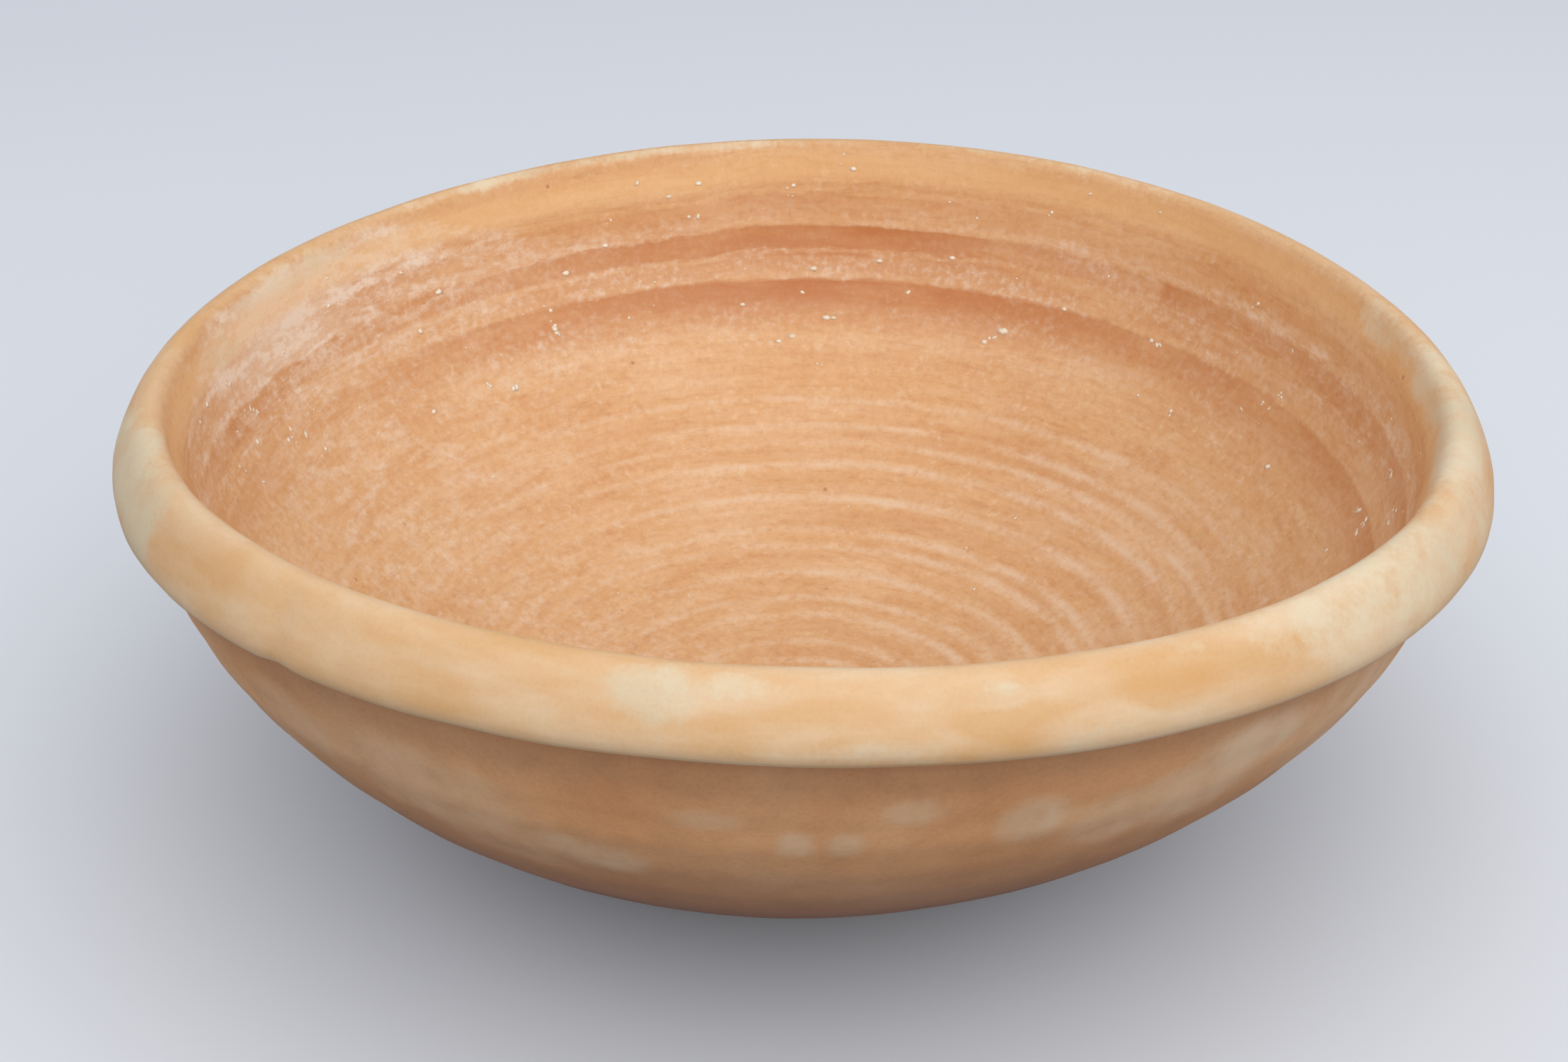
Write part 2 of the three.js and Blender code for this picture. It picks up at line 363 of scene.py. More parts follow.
# Folded rim
# The top of the wall turned outwards and pressed down against the neck, which doubles the rim.
# Its lower lip stays free and wanders a little, with the joint under it in shade.
CREST_HEIGHT = 65.5
CREST_SETBACK = 5.2
CREST_RADIUS = FOLD_RADIUS - CREST_SETBACK
CREST_ROUND = 1.7
CREST_STEPS = 14
BRIM_LEAN = 0.9
BRIM_RISE = 2.3
LIP_ROUND = 1.3
LIP_PULL = LIP_ROUND * 0.45
LIP_STEPS = 6
LIP_CHAMFER = 0.5
FLAP_SAG = 0.6
FLAP_DROOP = 2.0
crest = (CREST_RADIUS, CREST_HEIGHT)
lip_top = (FOLD_RADIUS, LIP_HEIGHT + LIP_ROUND)
crest_inside = curve((BRIM_RADIUS, WALL_TOP), (BRIM_RADIUS + BRIM_LEAN, WALL_TOP + BRIM_RISE),
                     (CREST_RADIUS - CREST_ROUND, CREST_HEIGHT), crest, CREST_STEPS)
crest_outside = curve(crest, (CREST_RADIUS + CREST_ROUND, CREST_HEIGHT),
                      (FOLD_RADIUS, LIP_HEIGHT + LIP_ROUND * 3), lip_top, CREST_STEPS)
lip_line = curve(lip_top, (FOLD_RADIUS, LIP_HEIGHT + LIP_PULL),
                 (FOLD_RADIUS - LIP_PULL, LIP_HEIGHT), (FOLD_RADIUS - LIP_ROUND, LIP_HEIGHT), LIP_STEPS)
fold_line = crest_inside + crest_outside[1:] + lip_line[1:]
fold_bed = left_of(fold_line, [-SLIP_BED] * len(fold_line))
fold_section = ([(NECK_RADIUS, WALL_TOP), (NECK_RADIUS, LIP_HEIGHT + LIP_CHAMFER),
                 (NECK_RADIUS + LIP_CHAMFER, LIP_HEIGHT + LIP_CHAMFER * 0.3), lip_line[-1]]
                + fold_bed[::-1])


def droop_flap(shape):
    """Lets the flap's lip hang a little, and lower at the left and right than near and far."""
    for v in shape.verts:
        radius = max(math.hypot(v.co.x, v.co.y), MM)
        out = (radius / MM - NECK_RADIUS) / (FOLD_RADIUS - LIP_ROUND - NECK_RADIUS)
        down = (CREST_HEIGHT - v.co.z / MM) / (CREST_HEIGHT - LIP_HEIGHT)
        share = min(max(out, 0.0), 1.0) * min(max(down, 0.0), 1.0)
        v.co.z -= share * (FLAP_SAG + FLAP_DROOP * (v.co.x / radius) ** 2) * MM


fold = turn([(r, h, 0) for r, h in fold_section], WALL_COLUMNS, True)
droop_flap(fold)
throw_by_hand(fold)
finish_piece(fold, "clay_fold", thrown, "rim_fold")


# Burnished slip
# A thin wash of finer clay over the floor, the inside and the rim. While it was leather-hard
# and the bowl turned, a pebble rubbed it in rings: each stroke is darker, smoother and a
# little hollow, and the slip left between strokes stays pale and dry.
SLIP = 0.3
ROW_STEP = 0.8
SLIP_COLUMNS = 400
WALL_EASING = 60
EASED_TOP = 56
FOLD_EASING = 10
FOLD_LEVEL = 64
BACK_LIFT = 0.1
BACK_SKIP = 6
clay_line = floor_line + wall_inside[1:] + fold_line


def distances_along(outline):
    """How far each point of an outline lies from its start, along it."""
    reached = [0.0]
    for (r0, h0), (r1, h1) in zip(outline, outline[1:]):
        reached.append(reached[-1] + math.hypot(r1 - r0, h1 - h0))
    return reached


def spaced(outline, step):
    """The same outline with its points at an even distance."""
    reached = distances_along(outline)
    count = round(reached[-1] / step)
    points = []
    i = 0
    for k in range(count + 1):
        target = reached[-1] * k / count
        while i < len(reached) - 2 and reached[i + 1] < target:
            i += 1
        share = (target - reached[i]) / max(reached[i + 1] - reached[i], 1e-9)
        (r0, h0), (r1, h1) = outline[i], outline[i + 1]
        points.append((r0 + (r1 - r0) * share, h0 + (h1 - h0) * share))
    return points


def eased(outline, passes, top):
    """The same outline with its bends below a height softened, its ends kept."""
    for _ in range(passes):
        middle = []
        for before, here, after in zip(outline, outline[1:], outline[2:]):
            softened = tuple(0.25 * a + 0.5 * b + 0.25 * c for a, b, c in zip(before, here, after))
            middle.append(softened if here[1] < top else here)
        outline = outline[:1] + middle + outline[-1:]
    return outline


def around(angle, table):
    """Value at a bearing, read between the listed (degrees, value) pairs all the way round."""
    degrees = math.degrees(angle) % 360
    ring = [(table[-1][0] - 360, table[-1][1])] + table + [(table[0][0] + 360, table[0][1])]
    for (d0, v0), (d1, v1) in zip(ring, ring[1:]):
        if d0 <= degrees <= d1:
            return v0 + (v1 - v0) * (degrees - d0) / (d1 - d0)


# The slip's face is the clay's line, with the bend at the heel rubbed out and the one at the brim eased.
face = eased(spaced(clay_line, ROW_STEP), WALL_EASING, EASED_TOP)
fold_start = next(i for i, (r, h) in enumerate(face) if h > FOLD_LEVEL)
face = eased(face[:fold_start], FOLD_EASING, FOLD_LEVEL) + face[fold_start:]
face[0] = (0.0, face[1][1])
slip_front = left_of(face, [SLIP] * len(face))
slip_front[0] = (0.0, slip_front[1][1])
slip_back = left_of(face, [BACK_LIFT - SLIP_BED] * len(face))[::-BACK_SKIP]
slip_back[-1] = (0.0, face[0][1] - SLIP_BED + BACK_LIFT)
run = distances_along(slip_front)
SLIP_RUN = run[-1]
crest_run = run[max(range(len(slip_front)), key=lambda i: slip_front[i][1])]


def run_to(radius=0.0, height=0.0):
    """Distance from the middle, along the slip, to the first ring with this radius and height."""
    return next(d for d, (r, h) in zip(run, slip_front) if r >= radius and h >= height)


# Rings that the pebble missed on the floor, by radius. A ramp holds 32 stops, three for each ring, so
# the highest rings are on a second ramp. They are a little narrower and fainter.
MISSED_RADII = (9.5, 14.6, 19.2, 25.5, 29.5, 35.3, 40.1, 43.3, 49.1, 54.5, 57.4, 60.1, 63.9)
MISSED = [run_to(radius) for radius in MISSED_RADII]
ON_FIRST_RAMP = 10
MISSED_HALF = 1.5
MISSED_HIGH_HALF = 1.3
MISSED_HIGH_SHARE = 0.9

# Broad strokes up the wall: height where each begins to show, is full and ends, and how dark it is
# at bearings all the way round, in degrees from +X.
STROKES = [
    (37.4, 42.2, 45.2, [(0, 0.5), (28, 0.55), (40, 0.62), (55, 0.75), (75, 0.95), (90, 1.0), (108, 0.8),
                        (128, 0.6), (145, 0.3), (165, 0.1), (200, 0.4), (250, 0.8), (310, 0.7)]),
    (45.2, 45.5, 48.6, [(0, 0.1), (50, 0.2), (70, 0.4), (95, 0.45), (110, 0.35), (130, 0.1), (180, 0.1),
                        (270, 0.3)]),
    (48.7, 49.6, 53.0, [(0, 0.4), (25, 0.42), (38, 0.5), (43, 0.75), (43.6, 0.1), (45, 0.35), (58, 0.5),
                        (72, 0.75), (84, 1.0), (95, 0.9), (106, 0.75), (132, 0.4), (152, 0.35),
                        (168, 0.4), (190, 0.3), (270, 0.9)]),
    (53.2, 55.0, 57.7, [(0, 0.1), (45, 0.12), (76, 0.2), (90, 0.4), (106, 0.3), (135, 0.25), (160, 0.1),
                        (200, 0.3), (270, 0.5)]),
    (58.3, 58.7, 59.4, [(0, 0.1), (60, 0.15), (80, 0.25), (110, 0.2), (140, 0.05), (200, 0.1), (270, 0.2)]),
]
STROKE_FULL = 0.9
EDGE_INSIDE = 0.3
EDGE_OUTSIDE = 0.15
STROKE_DEPTH = 0.12
HOLLOW_FOOT = 2
HOLLOW_LIP = 1.2
STROKE_TAIL = 2

# How far the strokes above a height lie lower, at bearings from +X: the pebble slipped at the left.
STROKE_DIP = [(0, 0.0), (95, 0.0), (101, 1.3), (175, 1.2), (230, 0.0)]
DIP_LEVEL = 46
DIP_SPAN = 3
CREST_FADE = 4

# How thick the whitish film of lime lies high inside, at bearings from +X. There is little of it low
# down, more above the heel and most on the upper wall, and it ends below the crest.
FILM = [(0, 0.8), (30, 0.6), (60, 0.25), (76, 0.2), (86, 0.1), (94, 0.12), (103, 0.4), (115, 0.55),
        (130, 1.0), (145, 1.4), (157, 2.1), (167, 1.7), (178, 1.0), (200, 0.6), (270, 0.4), (330, 0.7)]
FILM_LOW = 0.22
FILM_HEEL = 0.06
FILM_UPPER = 0.72
HEEL_LEVEL = 22
HEEL_SPAN = 12
UPPER_LEVEL = 45
UPPER_SPAN = 9
FILM_END = -11
FILM_END_RISE = 10
FILM_FADE = 3
THICK_FILM = 0.6
THICK_SPAN = 0.75

# Lime crust on the rim and bare orange spots on it: degrees from +X, distance past the crest,
# half width in degrees, half distance, strength.
RIM_LIME = [(8, -3, 6, 3, 0.6), (-3, -2.5, 7, 4, 0.8), (-10, -0.5, 6, 4, 1.0), (-19, -1, 7, 4, 1.1),
            (-28, 2, 7, 6, 0.5), (-45.5, -1, 6, 3, 1.0), (-40, 3, 7, 6, 0.85), (-50, 3.5, 4, 5, 0.9),
            (-56, 1.5, 3, 3, 0.3), (-66, 1.5, 3.5, 2.4, 0.35), (-72, 7.5, 4, 1.6, 0.5),
            (-77.6, 2.9, 1.6, 1.5, 0.9), (-82, 8.3, 4, 1.4, 0.55),
            (-89, 7.6, 5, 1.6, 0.6), (-94, 2.3, 2.5, 1.6, 0.7), (-99.7, 3.4, 2.4, 3.0, 1.0),
            (-101, 8, 5, 1.6, 0.15), (-153, 5, 5, 5, 1.0), (-160, 4, 5, 5, 1.1), (-167, 5.5, 5, 3.5, 0.9),
            (178, -3, 4, 2, 0.3), (171, -7, 5, 2.5, 0.35), (155, -3.5, 10, 2.0, 0.7),
            (60, -1.0, 14, 0.8, 0.5), (84, -1.2, 6, 0.9, 0.4), (103, -1.4, 14, 1.0, 0.75),
            (126, -1.4, 9, 1.1, 0.75), (20, 6, 10, 4, 0.6), (60, 4, 8, 4, 0.5), (100, 6, 9, 4, 0.6)]
RIM_BARE = [(-65.3, 4.6, 3.5, 2.2, 0.9), (-76.5, 6.0, 4, 2.2, 0.9), (-88.5, 5, 5, 1.8, 0.55),
            (-75, 0.8, 3.5, 1.4, 0.4), (-93, 6, 4, 2, 0.4), (-103, 9.2, 3, 1.4, 0.3), (-128, 5, 8, 4, 0.3),
            (-129.5, 6, 0.5, 5, 0.3), (175, -0.6, 4, 1.6, 0.8)]
RIM_PATCHES_START = -16
CRUST_RISE = 0.06

# How much the rim is worn pale: most at the near side.
RIM_WORN = 0.6
RIM_WORN_NEAR = 0.4

# Relief: slow swells inside, smaller ones on the rim, and a crease that the fold left across it.
INSIDE_SWELLS = 0.16
MIDDLE_FADE = 20
RIM_SWELLS = 0.11
RIM_LUMPS = 0.04
RIM_INSET = 0.12
RIM_START = -13
RIM_SPAN = 8
CREASE = math.radians(-129.5)
CREASE_DEPTH = 0.3
CREASE_HALF_TURN = 1.3

# Points of the back carry a distance past the slip's end, so that they stay put.
BACK_MARK = SLIP_RUN + 5
section = ([(r, h, d) for (r, h), d in zip(slip_front, run)]
           + [(r, h, BACK_MARK) for r, h in slip_back])
slip = turn(section, SLIP_COLUMNS, False)
lime = slip.verts.layers.float.new("lime")
haze = slip.verts.layers.float.new("haze")
rim = slip.verts.layers.float.new("rim")
rub = slip.verts.layers.float.new("rub")
along = slip.verts.layers.float["along"]
slip.normal_update()
moves = []
for v in slip.verts:
    if v[along] > SLIP_RUN + 1:
        moves.append(0.0)
        continue
    angle = math.atan2(v.co.y, v.co.x)
    height = v.co.z / MM
    past = v[along] - crest_run
    if past < -1:
        dip = around(angle, STROKE_DIP) * smooth_step((height - DIP_LEVEL) / DIP_SPAN)
        v[along] += dip * smooth_step(-past / CREST_FADE)
    if past > RIM_PATCHES_START:
        v[lime] = patch_weight(angle, past, RIM_LIME) - patch_weight(angle, past, RIM_BARE)
    v[rim] = smooth_step((past + CREST_FADE) / CREST_FADE) * (RIM_WORN - RIM_WORN_NEAR * math.sin(angle))
    lime_film = around(angle, FILM)
    film_top = FILM_END + FILM_END_RISE * smooth_step((lime_film - THICK_FILM) / THICK_SPAN)
    climb = (FILM_LOW + FILM_HEEL * smooth_step((height - HEEL_LEVEL) / HEEL_SPAN)
             + FILM_UPPER * smooth_step((height - UPPER_LEVEL) / UPPER_SPAN))
    v[haze] = lime_film * climb * smooth_step((film_top - past) / FILM_FADE)
    inside = INSIDE_SWELLS * grain(v.co, size=24, seed=7.0) * min(1, v[along] / MIDDLE_FADE)
    for start, _, end, darkness in STROKES:
        if start < height < end + STROKE_TAIL:
            v[rub] = around(angle, darkness)
            hollow = STROKE_DEPTH * v[rub] * smooth_step((height - start) / HOLLOW_FOOT)
            inside -= hollow * smooth_step((end - height) / HOLLOW_LIP)
    outside = (RIM_SWELLS * grain(v.co, size=17, seed=3.0) + RIM_LUMPS * grain(v.co, size=6, seed=9.0)
               - RIM_INSET)
    across = math.degrees(angle - CREASE) / CREASE_HALF_TURN
    outside -= CREASE_DEPTH * math.exp(-across ** 2) * smooth_step(past / CREST_FADE)
    blend = smooth_step((past - RIM_START) / RIM_SPAN)
    moves.append(inside * (1 - blend) + outside * blend + CRUST_RISE * max(v[lime], 0))
for v, move in zip(slip.verts, moves):
    v.co += v.normal * move * MM
droop_flap(slip)
throw_by_hand(slip)

# Burnished slip: fine orange clay, deeper and with a low sheen where the pebble passed, matte and
# pale where it missed. Whitish lime lies over it as film and dust high inside, and as cream crusts on
# the rim.
rubbed, tree, shader = new_material("burnished_slip")
place = add(tree, "TexCoord").outputs["Object"]
distance = add(tree, "Attribute", attribute_name="along").outputs["Fac"]
crust = add(tree, "Attribute", attribute_name="lime").outputs["Fac"]
film = add(tree, "Attribute", attribute_name="haze").outputs["Fac"]
on_rim = add(tree, "Attribute", attribute_name="rim").outputs["Fac"]
rubs = add(tree, "Attribute", attribute_name="rub").outputs["Fac"]
flat = add(tree, "VectorMath", {0: place, 1: (1, 1, 0)}, operation="MULTIPLY")
heading = add(tree, "VectorMath", {0: flat.outputs["Vector"]}, operation="NORMALIZE")
bearing = add(tree, "SeparateXYZ", {0: heading.outputs["Vector"]})
ring_place = add(tree, "CombineXYZ", {0: bearing.outputs["X"], 1: bearing.outputs["Y"],
                                      2: distance}).outputs[0]

# Patterns on ring_place follow the rings. Their first two numbers are repeats in the bowl's radius round
# a ring, and the third is repeats in a millimetre across it: (14, 14, 1.1) is 6 mm long and 0.9 mm wide
# at the wall. The rings wander by a millimetre, and each pull of the pebble lies a little higher or lower,
# with a frayed edge.
slow = add(tree, "VectorMath", {0: ring_place, 1: (1.6, 1.6, 0.05)}, operation="MULTIPLY")
wander = add(tree, "TexNoise", {"Vector": slow.outputs["Vector"], "Scale": 1.0, "Detail": 2.0})
sway = add(tree, "MapRange", {"Value": wander.outputs["Fac"], "To Min": -1.0, "To Max": 1.0})
ring_run = add(tree, "Math", {0: distance, 1: sway.outputs["Result"]}, operation="ADD")
ring_share = add(tree, "Math", {0: ring_run.outputs[0], 1: SLIP_RUN}, operation="DIVIDE").outputs[0]
lengths = add(tree, "VectorMath", {0: ring_place, 1: (2.8, 2.8, 0.06)}, operation="MULTIPLY")
pull = add(tree, "TexVoronoi", {"Vector": lengths.outputs["Vector"], "Scale": 1.0})
pull_start = add(tree, "MapRange", {"Value": pull.outputs["Color"], "To Min": -0.25, "To Max": 0.25})
ragged_place = add(tree, "VectorMath", {0: ring_place, 1: (11, 11, 0.5)}, operation="MULTIPLY")
ragged = add(tree, "TexNoise", {"Vector": ragged_place.outputs["Vector"], "Scale": 1.0, "Detail": 5.0,
                                "Roughness": 0.65})
fray = add(tree, "MapRange", {"Value": ragged.outputs["Fac"], "To Min": -1.6, "To Max": 1.6})
frayed = add(tree, "Math", {0: pull_start.outputs["Result"], 1: fray.outputs["Result"]}, operation="ADD")
pull_run = add(tree, "Math", {0: distance, 1: frayed.outputs[0]}, operation="ADD")
pull_share = add(tree, "Math", {0: pull_run.outputs[0], 1: SLIP_RUN}, operation="DIVIDE").outputs[0]

missed_stops = []
for middle in MISSED[:ON_FIRST_RAMP]:
    for aside, share in ((-MISSED_HALF, 0.0), (0.0, 1.0), (MISSED_HALF, 0.0)):
        missed_stops.append(((middle + aside) / SLIP_RUN, share))
high_stops = []
for middle in MISSED[ON_FIRST_RAMP:]:
    for aside, share in ((-MISSED_HIGH_HALF, 0.0), (0.0, MISSED_HIGH_SHARE), (MISSED_HIGH_HALF, 0.0)):
        high_stops.append(((middle + aside) / SLIP_RUN, share))
stroke_stops = []
for start, full, end, _ in STROKES:
    top = run_to(height=end)
    stroke_stops += [(run_to(height=start) / SLIP_RUN, 0.0), (run_to(height=full) / SLIP_RUN, STROKE_FULL),
                     ((top - EDGE_INSIDE) / SLIP_RUN, 1.0), ((top + EDGE_OUTSIDE) / SLIP_RUN, 0.0)]
missed = add(tree, "ValToRGB", {"Fac": ring_share}, stops=missed_stops)
missed_high = add(tree, "ValToRGB", {"Fac": ring_share}, stops=high_stops)
stroke = add(tree, "ValToRGB", {"Fac": pull_share}, stops=stroke_stops)

# Grain of the slip: fine dashes, soft streaks, rings and broad flecks that follow the pebble, then
# clouds, curds, lumps, crumbs and half-millimetre sand in the clay itself.
thin = add(tree, "VectorMath", {0: ring_place, 1: (14, 14, 1.1)}, operation="MULTIPLY")
fine = add(tree, "TexNoise", {"Vector": thin.outputs["Vector"], "Scale": 1.0, "Detail": 4.0,
                              "Roughness": 0.6})
soft = add(tree, "VectorMath", {0: ring_place, 1: (2.6, 2.6, 0.25)}, operation="MULTIPLY")
streak = add(tree, "TexNoise", {"Vector": soft.outputs["Vector"], "Scale": 1.0, "Detail": 4.0,
                                "Roughness": 0.6})
close = add(tree, "VectorMath", {0: ring_place, 1: (1.3, 1.3, 0.36)}, operation="MULTIPLY")
rings = add(tree, "TexNoise", {"Vector": close.outputs["Vector"], "Scale": 1.0, "Detail": 2.0})
wide = add(tree, "VectorMath", {0: ring_place, 1: (5, 5, 0.2)}, operation="MULTIPLY")
broad = add(tree, "TexNoise", {"Vector": wide.outputs["Vector"], "Scale": 1.0, "Detail": 3.0})
clouds = add(tree, "TexNoise", {"Vector": place, "Scale": 1 / (26 * MM), "Detail": 4.0})
curds = add(tree, "TexNoise", {"Vector": place, "Scale": 1 / (7 * MM), "Detail": 5.0, "Roughness": 0.6})
lumps = add(tree, "TexNoise", {"Vector": place, "Scale": 1 / (3.2 * MM), "Detail": 5.0, "Roughness": 0.65})
crumbs = add(tree, "TexNoise", {"Vector": place, "Scale": 1 / (1.2 * MM), "Detail": 4.0, "Roughness": 0.65})
sand = add(tree, "TexNoise", {"Vector": place, "Scale": 1 / (0.45 * MM), "Detail": 3.0})

body = add(tree, "ValToRGB", {"Fac": clouds.outputs["Fac"]},
           stops=[(0.3, "#dca66f"), (0.5, "#e2b079"), (0.7, "#e7b987")])
dashes = add(tree, "ValToRGB", {"Fac": fine.outputs["Fac"]},
             stops=[(0.3, "#f5ece4"), (0.45, "#fcf9f6"), (0.55, "#ffffff")])
streaks = add(tree, "ValToRGB", {"Fac": streak.outputs["Fac"]},
              stops=[(0.34, "#d89b66"), (0.5, "#e3b17e"), (0.66, "#edc59f")])
streaked = add(tree, "Mix", {0: 0.4, 6: body.outputs["Color"], 7: streaks.outputs["Color"]},
               data_type="RGBA")
combed = add(tree, "Mix", {0: 1.0, 6: streaked.outputs[2], 7: dashes.outputs["Color"]},
             data_type="RGBA", blend_type="MULTIPLY")
speckle = add(tree, "ValToRGB", {"Fac": crumbs.outputs["Fac"]},
              stops=[(0.3, "#f7efe8"), (0.5, "#ffffff")])
specked = add(tree, "Mix", {0: 1.0, 6: combed.outputs[2], 7: speckle.outputs["Color"]},
              data_type="RGBA", blend_type="MULTIPLY")
clot_sum = add(tree, "Math", {0: lumps.outputs["Fac"], 1: 0.5, 2: crumbs.outputs["Fac"]},
               operation="MULTIPLY_ADD")
clots = add(tree, "MapRange", {"Value": clot_sum.outputs[0], "From Min": 0.82, "From Max": 1.05,
                               "To Max": 0.45})
mottled = add(tree, "Mix", {0: clots.outputs["Result"], 6: specked.outputs[2], 7: linear("#f0d5b6")},
              data_type="RGBA")

# Floor rings: orange where the pebble passed, thin and pale where it missed, clearest on the right.
gaps = add(tree, "Math", {0: missed.outputs["Color"], 1: missed_high.outputs["Color"]}, operation="MAXIMUM")
shade_side = add(tree, "MapRange", {"Value": bearing.outputs["X"], "From Min": -0.5, "From Max": 0.4,
                                    "To Min": 0.06, "To Max": 0.3})
on_floor = add(tree, "MapRange", {"Value": distance, "From Min": MISSED[-1] + 3,
                                  "From Max": MISSED[-1] - 6})
passed = add(tree, "Math", {0: 1.0, 1: gaps.outputs[0]}, operation="SUBTRACT")
pressed = add(tree, "MapRange", {"Value": rings.outputs["Fac"], "From Min": 0.62, "From Max": 0.4})
pressing = add(tree, "Math", {0: passed.outputs[0], 1: pressed.outputs["Result"]}, operation="MULTIPLY")
rubbing = add(tree, "Math", {0: pressing.outputs[0], 1: shade_side.outputs["Result"]}, operation="MULTIPLY")
rub_mask = add(tree, "Math", {0: rubbing.outputs[0], 1: on_floor.outputs["Result"]}, operation="MULTIPLY")
rubbed_floor = add(tree, "Mix", {0: rub_mask.outputs[0], 6: mottled.outputs[2], 7: linear("#c98a55")},
                   data_type="RGBA")
clumps = add(tree, "Math", {0: crumbs.outputs["Fac"], 1: 0.6, 2: broad.outputs["Fac"]},
             operation="MULTIPLY_ADD")
gap_break = add(tree, "MapRange", {"Value": clumps.outputs[0], "From Min": 0.66, "From Max": 0.96,
                                   "To Min": 0.12, "To Max": 0.8})
gap_width = add(tree, "MapRange", {"Value": bearing.outputs["X"], "From Min": -0.6, "From Max": 0.8,
                                   "To Min": 0.4, "To Max": 0.1})
gap_line = add(tree, "MapRange", {"Value": gaps.outputs[0], "From Min": gap_width.outputs["Result"]})
gap_mask = add(tree, "Math", {0: gap_line.outputs["Result"], 1: gap_break.outputs["Result"]},
               operation="MULTIPLY")
gap_side = add(tree, "MapRange", {"Value": bearing.outputs["X"], "From Min": -0.9, "From Max": 0.0,
                                  "To Min": 0.35})
gap_seen = add(tree, "Math", {0: gap_mask.outputs[0], 1: gap_side.outputs["Result"]}, operation="MULTIPLY")
gapped = add(tree, "Mix", {0: gap_seen.outputs[0], 6: rubbed_floor.outputs[2], 7: linear("#eccdad")},
             data_type="RGBA")

# Wall strokes: deep orange, broken a little along their length.
stroke_break = add(tree, "MapRange", {"Value": broad.outputs["Fac"], "From Min": 0.3, "From Max": 0.5,
                                      "To Min": 0.65, "To Max": 1.0})
stroke_here = add(tree, "Math", {0: stroke.outputs["Color"], 1: rubs}, operation="MULTIPLY")
stroke_mask = add(tree, "Math", {0: stroke_here.outputs[0], 1: stroke_break.outputs["Result"]},
                  operation="MULTIPLY")
stroked = add(tree, "Mix", {0: stroke_mask.outputs[0], 6: gapped.outputs[2], 7: linear("#c17539")},
              data_type="RGBA")

# Film of lime: grainy wisps 6 mm long between the strokes, with a veil under them where it is thick.
wisp_place = add(tree, "VectorMath", {0: ring_place, 1: (13, 13, 0.42)}, operation="MULTIPLY")
wisps = add(tree, "TexNoise", {"Vector": wisp_place.outputs["Vector"], "Scale": 1.0, "Detail": 5.0,
                               "Roughness": 0.7})
wisp_shape = add(tree, "MapRange", {"Value": wisps.outputs["Fac"], "From Min": 0.46, "From Max": 0.64,
                                    "To Min": 0.14})
wisp_grain = add(tree, "MapRange", {"Value": crumbs.outputs["Fac"], "From Min": 0.38, "From Max": 0.62,
                                    "To Min": 0.5, "To Max": 1.05})
bare = add(tree, "MapRange", {"Value": stroke_mask.outputs[0], "From Max": 0.6,
                              "To Min": 1.0, "To Max": 0.1})
wisp_mask = add(tree, "Math", {0: wisp_shape.outputs["Result"], 1: wisp_grain.outputs["Result"]},
                operation="MULTIPLY")
wisp_zone = add(tree, "Math", {0: film, 1: bare.outputs["Result"]}, operation="MULTIPLY")
veil = add(tree, "MapRange", {"Value": wisp_zone.outputs[0], "From Min": 0.8, "From Max": 2.0,
                              "To Max": 0.5})
wisp_amount = add(tree, "Math", {0: wisp_mask.outputs[0], 1: wisp_zone.outputs[0],
                                 2: veil.outputs["Result"]}, operation="MULTIPLY_ADD")
hazed = add(tree, "Mix", {0: wisp_amount.outputs[0], 6: stroked.outputs[2], 7: linear("#f1dcc5")},
            data_type="RGBA", clamp_factor=True)

# Smears of lime: denser dabs 4 mm long on the upper wall, where there is film.
short = add(tree, "VectorMath", {0: ring_place, 1: (20, 20, 0.6)}, operation="MULTIPLY")
smears = add(tree, "TexNoise", {"Vector": short.outputs["Vector"], "Scale": 1.0, "Detail": 5.0,
                                "Roughness": 0.7})
smear_shape = add(tree, "MapRange", {"Value": smears.outputs["Fac"], "From Min": 0.54, "From Max": 0.68,
                                     "To Max": 0.6})
smear_zone = add(tree, "MapRange", {"Value": wisp_zone.outputs[0], "From Min": 0.1, "From Max": 0.4})
smear_high = add(tree, "MapRange", {"Value": distance, "From Min": run_to(height=40),
                                    "From Max": run_to(height=46)})
smear_bed = add(tree, "Math", {0: smear_zone.outputs["Result"], 1: smear_high.outputs["Result"]},
                operation="MULTIPLY")
smear_mask = add(tree, "Math", {0: smear_shape.outputs["Result"], 1: smear_bed.outputs[0]},
                 operation="MULTIPLY")
smeared = add(tree, "Mix", {0: smear_mask.outputs[0], 6: hazed.outputs[2], 7: linear("#f1dac2")},
              data_type="RGBA")

# Dust of lime: soft motes of about a millimetre, in drifts between the strokes at the far side.
motes = add(tree, "TexNoise", {"Vector": place, "Scale": 1 / (1.2 * MM), "Detail": 3.0, "Roughness": 0.6})
specks = add(tree, "MapRange", {"Value": motes.outputs["Fac"], "From Min": 0.48, "From Max": 0.8,
                                "To Min": 0.08, "To Max": 0.7})
drifts = add(tree, "MapRange", {"Value": broad.outputs["Fac"], "From Min": 0.42, "From Max": 0.58,
                                "To Min": 0.25})
dust_low = add(tree, "MapRange", {"Value": distance, "From Min": run_to(height=33),
                                  "From Max": run_to(height=42)})
dust_top = add(tree, "MapRange", {"Value": distance, "From Min": run_to(height=57),
                                  "From Max": run_to(height=51)})
dust_far = add(tree, "MapRange", {"Value": bearing.outputs["Y"], "From Min": 0.35, "From Max": 0.85,
                                  "To Min": 0.15})
dust_band = add(tree, "Math", {0: dust_low.outputs["Result"], 1: dust_top.outputs["Result"]},
                operation="MULTIPLY")
dust_zone = add(tree, "Math", {0: dust_band.outputs[0], 1: dust_far.outputs["Result"]},
                operation="MULTIPLY")
